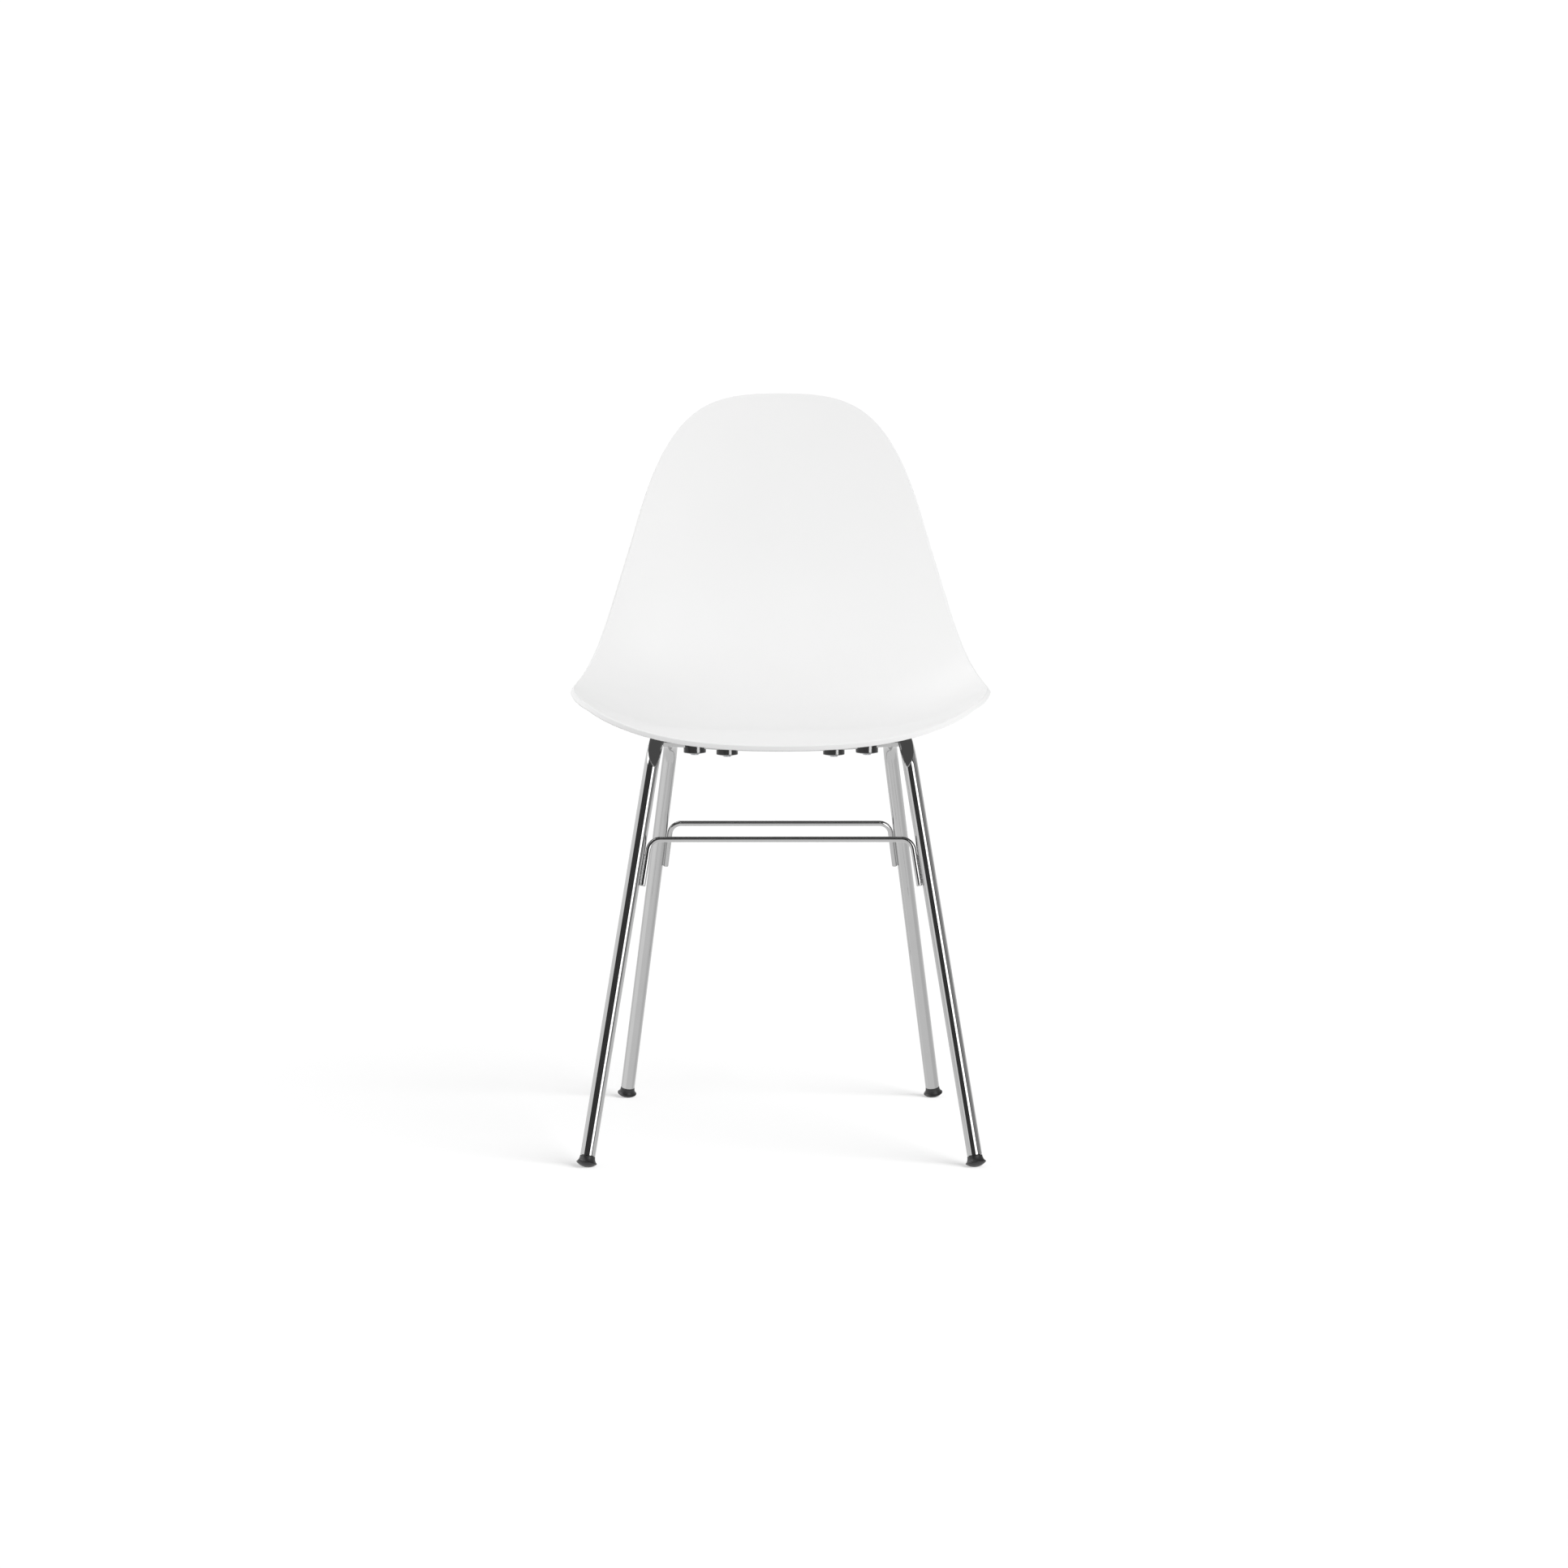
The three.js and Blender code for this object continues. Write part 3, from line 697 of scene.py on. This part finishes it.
def nose_rings(tip, path_frame, into):
    """Rings of a rod's rounded end, from its tip on. Into is 1 along the path and -1 against it."""
    rings = []
    for turn in np.linspace(0, math.pi / 2, NOSE_POINTS):
        step = into * ROD_NOSE * (1 - math.cos(turn))
        radius = ROD_RADIUS - ROD_NOSE * (1 - math.sin(turn))
        rings.append(ring_at(tip + path_frame[2] * step, path_frame, radius, ROD_SIDES))
    return rings


def make_stretcher(name, foot, top, rod):
    """Bent rod with its cut ends broken by a small radius."""
    path = rounded_path(rod_corners(foot, top, rod), ROD_BEND_RADIUS)
    frames = path_frames(path)
    rings = nose_rings(path[0], frames[0], 1)
    for i in range(1, len(path) - 1):
        rings.append(ring_at(path[i], frames[i], ROD_RADIUS, ROD_SIDES))
    rings += reversed(nose_rings(path[-1], frames[-1], -1))
    points = [p for ring in rings for p in ring]
    add_piece(f"{name}_rod", points, bar_faces(len(rings), ROD_SIDES), CHROME, "chrome", [name])


def strap_section():
    """Rounded rectangle (y, z) of the flat bar, its underside at z 0."""
    half, thick = STRAP_WIDTH / 2, STRAP_THICKNESS
    corners = [(-half, 0), (half, 0), (half, thick), (-half, thick)]
    return rounded(corners, {i: STRAP_CORNER for i in range(4)})


def make_strap(strap):
    """Flat bar that dips towards the middle, its ends shaped to the round rails."""
    reach = rail_side(strap["y"])
    section = strap_section()
    points = []
    for i in range(STRAP_STATIONS):
        share = 2 * i / (STRAP_STATIONS - 1) - 1
        for dy, dz in section:
            y = strap["y"] + dy
            height = strap_underside(strap, share * reach) + dz
            drop = height - rail_height(y)
            touch = rail_side(y) - math.sqrt(max(TUBE_RADIUS ** 2 - drop ** 2, 0)) + GAP
            points.append((share * touch, y, strap_underside(strap, share * touch) + dz))
    name = f"{strap['name']}_strap"
    faces = bar_faces(STRAP_STATIONS, len(section))
    add_piece(f"{name}_bar", points, faces, CHROME, "chrome", [name])


def weld_bead(start, end, radius, ripple):
    """Small bead along a straight line: a thin bar with rounded ends, rippled by a share of its radius."""
    length = (end - start).length
    steps = max(2, int(length / (BEAD_PITCH / BEAD_RINGS)))
    path = [start.lerp(end, k / steps) for k in range(steps + 1)]
    frames = path_frames(path)
    rings = []
    for k, point in enumerate(path):
        run = length * k / steps
        inside = min(run, length - run)
        taper = math.sqrt(max(1 - max(1 - inside / (BEAD_END * radius), 0) ** 2, BEAD_TIP))
        wave = 1 + ripple * math.sin(2 * math.pi * run / BEAD_PITCH)
        rings.append(ring_at(point, frames[k], radius * taper * wave, BEAD_SIDES))
    return [p for ring in rings for p in ring], bar_faces(len(rings), BEAD_SIDES)


def rod_welds(name, foot, top, rod):
    """Ground beads down both valleys between the rod's ends and the legs."""
    low = rod["end"] + ROD_BEAD_LOW
    high = rod["height"] - ROD_BEND_RADIUS - ROD_BEAD_HIGH
    leg = (top - foot).normalized()
    inward = Vector((-leg.z, 0, leg.x)).normalized()
    behind = leg.cross(inward).normalized()
    behind *= math.copysign(1, behind.y)
    beads = []
    for side in (1, -1):
        for valley, radius in ROD_BEADS:
            line = []
            for height in (low, high):
                axis = foot + leg * ((height - foot.z) / leg.z)
                line.append(mirror_x(axis + inward * (TUBE_RADIUS + ROD_BEAD_OUT) + behind * valley, side))
            beads.append(weld_bead(*line, radius, ripple=0.0))
    add_piece(name, *joined(beads), CHROME, "chrome")


def strap_welds(strap):
    """Beads along both faces of the strap where it meets the rails."""
    beads = []
    for side in (1, -1):
        for dz, depth in STRAP_BEADS:
            line = []
            for end in (-1, 1):
                y = strap["y"] + end * (STRAP_WIDTH / 2 - STRAP_BEAD_MARGIN)
                height = strap["underside"] + STRAP_RISE + dz
                drop = height - rail_height(y)
                touch = rail_side(y) - math.sqrt(max(TUBE_RADIUS ** 2 - drop ** 2, 0))
                line.append(Vector((side * (touch - depth), y, height)))
            beads.append(weld_bead(*line, STRAP_BEAD_RADIUS, STRAP_BEAD_RIPPLE))
    add_piece(f"{strap['name']}_strap_welds", *joined(beads), CHROME, "chrome")


# ---- small parts ----

def cut_away(piece, *solids):
    """Cuts closed solids, each as points in millimetres and faces, out of a piece."""
    for points, faces in solids:
        cutter = bpy.data.objects.new("cutter", solid_mesh("cutter", points, faces))
        bpy.context.scene.collection.objects.link(cutter)
        cut = piece.modifiers.new("cut", "BOOLEAN")
        cut.object = cutter
        cut.operation = "DIFFERENCE"
        bpy.context.view_layer.update()
        final = bpy.data.meshes.new_from_object(piece.evaluated_get(bpy.context.evaluated_depsgraph_get()))
        piece.modifiers.clear()
        piece.data = final
        bpy.data.objects.remove(cutter)


def strap_block(strap, x, low, high, half):
    """Block round a place on a strap, between two heights over the strap's underside."""
    points = []
    for share in np.linspace(-1, 1, CHANNEL_STATIONS):
        at = x + share * 2 * PAD_RADIUS
        base = strap_underside(strap, at)
        for dy, dz in ((-half, low), (half, low), (half, high), (-half, high)):
            points.append((at, strap["y"] + dy, base + dz))
    return points, bar_faces(CHANNEL_STATIONS, 4)


def make_pad(name, strap, x):
    """Round rubber pad: cheeks before and behind the strap, shallow cone below, screw recess."""
    bore, recess = SCREW_RADIUS + GAP, SCREW_HEAD_RADIUS + GAP
    seat = SCREW_HEAD_HEIGHT + GAP - PAD_TIP_DEPTH
    spare = STRAP_THICKNESS + STRAP_RISE
    corners = [
        (bore, seat),
        (recess, seat),
        (recess, -PAD_TIP_DEPTH + SCREW_HEAD_PROUD),
        (PAD_RADIUS, -PAD_EDGE_DEPTH),
        (PAD_RADIUS, spare),
        (bore, spare),
    ]
    profile = rounded(corners, {2: PAD_LIP_CORNER, 3: PAD_EDGE_CORNER})
    points = turned(profile)[0] + np.array((x, strap["y"], strap_underside(strap, x)))
    faces = ring_faces(len(profile), ROUND_SIDES, closed=True)
    pad = add_piece(f"stacking_pad_{name}_rubber", points, faces, PAD_BLACK, "pad", [f"stacking_pad_{name}"])
    channel = strap_block(strap, x, -GAP, 2 * spare, STRAP_WIDTH / 2 + GAP)
    cut_away(pad, channel, strap_block(strap, x, STRAP_THICKNESS, 2 * spare, 2 * PAD_RADIUS))


def make_screw(name, strap, x):
    """Pan-head screw with a cross recess."""
    start = strap_underside(strap, x) - PAD_TIP_DEPTH
    roof = shell_height(np.array([x]), np.array([strap["y"]]))[0] + SHELL_THICKNESS / 2 - INSERT_SKIN
    length = roof - 2 * GAP - start
    corners = [
        (SCREW_HEAD_RADIUS - SCREW_HEAD_EDGE, 0),
        (SCREW_HEAD_RADIUS, 0),
        (SCREW_HEAD_RADIUS, SCREW_HEAD_HEIGHT),
        (SCREW_RADIUS, SCREW_HEAD_HEIGHT),
        (SCREW_RADIUS, length - SCREW_TIP_CHAMFER),
        (SCREW_RADIUS - SCREW_TIP_CHAMFER, length),
    ]
    points, faces = turned(rounded(corners, {1: SCREW_HEAD_CORNER}))
    points += np.array((x, strap["y"], start))
    screw = add_piece(f"pad_screw_{name}_zinc", points, faces, ZINC, "screw", [f"pad_screw_{name}"])
    reach = SCREW_HEAD_RADIUS - CROSS_MARGIN
    for dx, dy in ((reach, CROSS_HALF_WIDTH), (CROSS_HALF_WIDTH, reach)):
        base = [(x + i * dx, strap["y"] + j * dy) for i, j in ((-1, -1), (1, -1), (1, 1), (-1, 1))]
        bar = [(px, py, start + dz) for dz in (-CROSS_DEPTH, CROSS_DEPTH) for px, py in base]
        cut_away(screw, (bar, bar_faces(2, 4)))


def glide_profile():
    """Domed base, rim, a hollow flare up to the tube's line, and the stem."""
    g = GLIDE
    dome = (g["radius"] ** 2 + g["rim"] ** 2) / (2 * g["rim"])
    widest = math.asin(g["radius"] / dome)
    turns = np.linspace(DOME_START, widest, DOME_POINTS)
    profile = [(dome * math.sin(t), dome * (1 - math.cos(t))) for t in turns]
    stem = TUBE_RADIUS - TUBE_WALL - GAP
    shoulder = TUBE_END - GAP
    lip, knee = np.array((g["radius"], g["lip"])), np.array(g["knee"])
    end = np.array((TUBE_RADIUS, shoulder))
    shares = np.linspace(0, 1, FLARE_POINTS)
    flare = [tuple((1 - t) ** 2 * lip + 2 * t * (1 - t) * knee + t ** 2 * end) for t in shares]
    corners = [profile[-2], profile[-1], flare[0], flare[1]]
    edge = rounded(corners, {1: g["corner"], 2: g["corner"]})[1:-1]
    stem_corners = [
        flare[-2],
        flare[-1],
        (stem, shoulder),
        (stem, TUBE_END + g["stem"] - g["chamfer"]),
        (stem - g["chamfer"], TUBE_END + g["stem"]),
    ]
    return profile[:-1] + edge + flare[1:-1] + rounded(stem_corners, {1: g["corner"]})[1:]


def make_glide(name, foot, top):
    """Foot glide coaxial with its leg, flat where it stands on the floor."""
    points, faces = turned(glide_profile())
    turn = Vector((0, 0, 1)).rotation_difference((top - foot).normalized())
    placed = [turn @ Vector(p) + foot for p in points]
    for p in placed:
        p.z = max(p.z, 0.0)
    add_piece(f"foot_glide_{name}_nylon", placed, faces, GLIDE_BLACK, "glide", [f"foot_glide_{name}"])


def make_chair():
    """Every piece of the chair. The inserts keep their CAD shape and only get a material."""
    make_shell()
    for hand, side in (("left", 1), ("right", -1)):
        make_side_tube(hand, side)
        make_glide(f"front_{hand}", mirror_x(FRONT_FOOT, side), mirror_x(FRONT_KNEE, side))
        make_glide(f"rear_{hand}", mirror_x(REAR_FOOT, side), mirror_x(REAR_KNEE, side))
    make_stretcher("front_stretcher", FRONT_FOOT, FRONT_KNEE, FRONT_ROD)
    make_stretcher("rear_stretcher", REAR_FOOT, REAR_KNEE, REAR_ROD)
    rod_welds("front_stretcher_welds", FRONT_FOOT, FRONT_KNEE, FRONT_ROD)
    rod_welds("rear_stretcher_welds", REAR_FOOT, REAR_KNEE, REAR_ROD)
    for strap in (FRONT_STRAP, REAR_STRAP):
        make_strap(strap)
        strap_welds(strap)
    for name, strap, x in FASTENERS:
        make_pad(name, strap, x)
        make_screw(name, strap, x)
        insert = frame["nodes"][f"threaded_insert_{name}"]
        insert.data.materials.clear()
        insert.data.materials.append(BRASS)


# ---- camera, floor and light ----

# What reflections show round the studio:
# (azimuth range, slant, elevation range, softness, brightness).
# Azimuth 0 is in front of the chair and 90 is on the sitter's left, in degrees. The slant moves a
# patch's upper end sideways, in degrees of azimuth for each degree of elevation.
STUDIO = [
    ((-215, -42), 1.2, (-3, 24), 4, 1.1),
    ((112, 215), 0, (-3, 24), 6, 0.75),
    ((62, 112), 0, (-3, 40), 6, 0.36),
    ((-128, -62), 0, (26, 82), 5, 3.0),
    ((-100, -34), 0, (-30, -9), 8, 1.12),
    ((46, 118), 0, (-34, -10), 8, 0.8),
]
ROOM_DARK = 0.06  # of the room round the softboxes
CEILING = 0.12
CEILING_RISE = (20.0, 60.0)  # elevations between which the dark room turns into the ceiling
FLOOR_SEEN = 0.95
FLOOR_EDGE = (-4.0, -2.0)  # elevations between which the floor turns into the room

# The chair's light, apart from its reflections. X and z are those of the light's direction.
BACKDROP = 1.05  # white behind the chair
SKY_LEFT, SKY_RIGHT = 1.49, 1.34  # light from the sides, on the viewer's left and right
SKY_DROP = 0.47  # how much weaker it is straight above
BELOW_RIGHT = 1.3  # light from below, which fades out towards the viewer's left
BELOW_X = (-0.38, 0.5)  # x between which it rises from nothing to this
HORIZON_Z = (-0.3, -0.05)  # z between which the light from below turns into the sky

CAMERA = {"place": (-0.012, -4.0937, 0.735), "down": 4.88, "turn": -0.221, "lens": 85.1, "clip": 200}
FLOOR_REACH = 60  # metres
FLOOR_ALBEDO = 0.15
FLOOR_GLOW = 0.53
# Dark sheet of painted shade under the shell: the chrome reflects it in place of the underside's shade.
SHADE_SHEET_MARGIN = 2  # grid lines left free at the shell's rim
SHADE_SHEET_GAP = 0.5  # mm under the shell
SHADE_SHEET_GLOW = 0.12
# Places of the studio's gear are in metres.
SOFTBOX = {"left": 0.92, "right": 2.75, "y": -2.3, "low": 0.05, "high": 2.4, "glow": 3.2}
GLOSS_POWER = 190
GLOSS_AHEAD = 0.01  # how far the pads' light stands in front of the softbox
KEY = {"strength": 14.0, "azimuth": 47, "elevation": 30, "width": 46}
KEY_BLOCKERS = ("side_tube", "foot_glide", "front_stretcher", "rear_stretcher")


def make_camera():
    """Long lens from the front, a little above the seat, looking slightly down."""
    data = bpy.data.cameras.new("camera")
    data.sensor_width = 36
    data.lens = CAMERA["lens"]
    data.clip_end = CAMERA["clip"]
    camera = bpy.data.objects.new("camera", data)
    camera.location = CAMERA["place"]
    camera.rotation_euler = (math.radians(90 - CAMERA["down"]), 0, math.radians(CAMERA["turn"]))
    bpy.context.scene.collection.objects.link(camera)
    bpy.context.scene.camera = camera


def make_sheet(name, points, faces, strength):
    """Glowing sheet of the studio, or a dark sheet of painted shade, that only shows in reflections."""
    material = bpy.data.materials.new(name)
    material.use_nodes = True
    shader = material.node_tree.nodes["Principled BSDF"]
    shader.inputs["Base Color"].default_value = (0, 0, 0, 1)
    shader.inputs["Specular IOR Level"].default_value = 0
    shader.inputs["Emission Color"].default_value = (1, 1, 1, 1)
    shader.inputs["Emission Strength"].default_value = strength
    mesh = bpy.data.meshes.new(name)
    mesh.from_pydata(points, [], faces)
    mesh.materials.append(material)
    sheet = bpy.data.objects.new(name, mesh)
    sheet.visible_camera = False
    sheet.visible_diffuse = False
    sheet.visible_shadow = False
    sheet.visible_transmission = False
    sheet.visible_volume_scatter = False
    bpy.context.scene.collection.objects.link(sheet)


def make_painted_underside_shade():
    """Dark, faintly glowing sheet of painted shade just under the shell, seen only in reflections, so that
    the frame reflects painted shade instead of the white underside.
    """
    flat = shell_grid()[0][SHADE_SHEET_MARGIN:-SHADE_SHEET_MARGIN, SHADE_SHEET_MARGIN:-SHADE_SHEET_MARGIN]
    rows, columns = flat.shape[:2]
    below = SHELL_THICKNESS / 2 + SHADE_SHEET_GAP
    points = shell_point(flat[..., 0], flat[..., 1]) - shell_normal(flat[..., 0], flat[..., 1]) * below
    points = (points.reshape(-1, 3) * MM).tolist()
    make_sheet("underside_flag", points, grid_faces(rows, columns), SHADE_SHEET_GLOW)


def make_floor():
    """White floor. The chair gets its light and reflections from below from the world instead."""
    material, _, shader = new_material("floor_white", (FLOOR_ALBEDO,) * 3, 0.9, specular=0.0)
    shader.inputs["Emission Color"].default_value = (1, 1, 1, 1)
    shader.inputs["Emission Strength"].default_value = FLOOR_GLOW
    mesh = bpy.data.meshes.new("floor")
    corners = [(x * FLOOR_REACH, y * FLOOR_REACH, 0) for x, y in ((-1, -1), (1, -1), (1, 1), (-1, 1))]
    mesh.from_pydata(corners, [], [(0, 1, 2, 3)])
    mesh.materials.append(material)
    floor = bpy.data.objects.new("floor", mesh)
    floor.visible_diffuse = False
    floor.visible_glossy = False
    bpy.context.scene.collection.objects.link(floor)
    return floor


def window(nodes, value, low, high, soft):
    """1 between low and high, falling to 0 over the softness."""
    half = soft / 2
    rise = nodes.add(
        "ShaderNodeMapRange",
        {"Value": value, "From Min": low - half, "From Max": low + half},
        interpolation_type="SMOOTHSTEP",
    )
    fall = nodes.add(
        "ShaderNodeMapRange",
        {"Value": value, "From Min": high - half, "From Max": high + half, "To Min": 1.0, "To Max": 0.0},
        interpolation_type="SMOOTHSTEP",
    )
    both = nodes.add("ShaderNodeMath", {0: rise.outputs[0], 1: fall.outputs[0]}, operation="MULTIPLY")
    return both.outputs[0]


def make_world():
    """White studio. Lights the chair nearly evenly, and shows reflections softboxes in a darker room."""
    world = bpy.data.worlds.new("studio")
    world.use_nodes = True
    bpy.context.scene.world = world
    nodes = Nodes(world.node_tree)
    tree = world.node_tree

    def math_node(operation, a, b=0.0):
        return nodes.add("ShaderNodeMath", {0: a, 1: b}, operation=operation).outputs[0]

    def ranged(value, low, high, at_low, at_high):
        inputs = {"Value": value, "From Min": low, "From Max": high, "To Min": at_low, "To Max": at_high}
        return nodes.add("ShaderNodeMapRange", inputs).outputs[0]

    def mixed(share, a, b):
        return nodes.add("ShaderNodeMix", {0: share, 2: a, 3: b}).outputs[0]

    direction = nodes.add("ShaderNodeTexCoord").outputs["Generated"]
    x, y, z = nodes.add("ShaderNodeSeparateXYZ", {0: direction}).outputs
    azimuth = math_node("MULTIPLY", math_node("ARCTAN2", x, math_node("MULTIPLY", y, -1.0)), 180 / math.pi)
    elevation = math_node("MULTIPLY", math_node("ARCSINE", z), 180 / math.pi)
    above = ranged(elevation, *CEILING_RISE, ROOM_DARK, CEILING)
    room = mixed(ranged(elevation, *FLOOR_EDGE, 0.0, 1.0), FLOOR_SEEN, above)
    for azimuths, slant, elevations, soft, value in STUDIO:
        slanted = math_node("ADD", azimuth, math_node("MULTIPLY", elevation, slant))
        sideways = window(nodes, slanted, *azimuths, soft)
        upwards = window(nodes, elevation, *elevations, soft)
        room = mixed(math_node("MULTIPLY", sideways, upwards), room, value)
    below = ranged(x, *BELOW_X, 0.0, BELOW_RIGHT)
    sideways = ranged(x, -1.0, 1.0, SKY_LEFT, SKY_RIGHT)
    sky = math_node("SUBTRACT", sideways, ranged(z, 0.0, 1.0, 0.0, SKY_DROP))
    light = mixed(ranged(z, *HORIZON_Z, 0.0, 1.0), below, sky)
    path = nodes.add("ShaderNodeLightPath")
    lit = mixed(path.outputs["Is Glossy Ray"], light, room)
    final = mixed(path.outputs["Is Camera Ray"], lit, BACKDROP)
    background = tree.nodes["Background"]
    background.inputs["Color"].default_value = (1, 1, 1, 1)
    tree.links.new(final, background.inputs["Strength"])


def make_key(floor):
    """Soft key light from the viewer's right. It lights the floor, where the legs shade it."""
    data = bpy.data.lights.new("key", "SUN")
    data.energy = KEY["strength"]
    data.angle = math.radians(KEY["width"])
    key = bpy.data.objects.new("key", data)
    a, e = math.radians(KEY["azimuth"]), math.radians(KEY["elevation"])
    towards = Vector((math.sin(a) * math.cos(e), -math.cos(a) * math.cos(e), math.sin(e)))
    key.rotation_euler = towards.to_track_quat("Z", "Y").to_euler()
    key.visible_glossy = False
    bpy.context.scene.collection.objects.link(key)
    lit = bpy.data.collections.new("lit_by_key")
    lit.objects.link(floor)
    key.light_linking.receiver_collection = lit
    shading = bpy.data.collections.new("shades_key")
    for piece in bpy.context.scene.objects:
        if piece.name.startswith(KEY_BLOCKERS) and body_of(piece):
            shading.objects.link(piece)
    key.light_linking.blocker_collection = shading


def make_softbox():
    """Large softbox in front, on the viewer's right, and a brighter one that only the pads see."""
    box = SOFTBOX
    y, low, high = box["y"], box["low"], box["high"]
    corners = [(box["left"], y, low), (box["right"], y, low), (box["right"], y, high), (box["left"], y, high)]
    make_sheet("softbox", corners, [(0, 1, 2, 3)], box["glow"])
    data = bpy.data.lights.new("gloss", "AREA")
    data.shape = "RECTANGLE"
    data.size = box["right"] - box["left"]
    data.size_y = high - low
    data.energy = GLOSS_POWER
    gloss = bpy.data.objects.new("gloss", data)
    gloss.location = ((box["left"] + box["right"]) / 2, y + GLOSS_AHEAD, (low + high) / 2)
    gloss.rotation_euler = Vector((0, -1, 0)).to_track_quat("Z", "Y").to_euler()
    gloss.visible_diffuse = False
    bpy.context.scene.collection.objects.link(gloss)
    shown = bpy.data.collections.new("shows_gloss")
    for piece in bpy.context.scene.objects:
        if piece.name.endswith("_rubber"):
            shown.objects.link(piece)
    gloss.light_linking.receiver_collection = shown


make_camera()
floor = make_floor()
make_world()
make_chair()
make_key(floor)
make_softbox()
# Dark sheet of painted shade under the shell, seen only in reflections.
make_painted_underside_shade()

bpy.context.scene.view_settings.view_transform = "Standard"
bpy.context.scene.view_settings.look = "None"
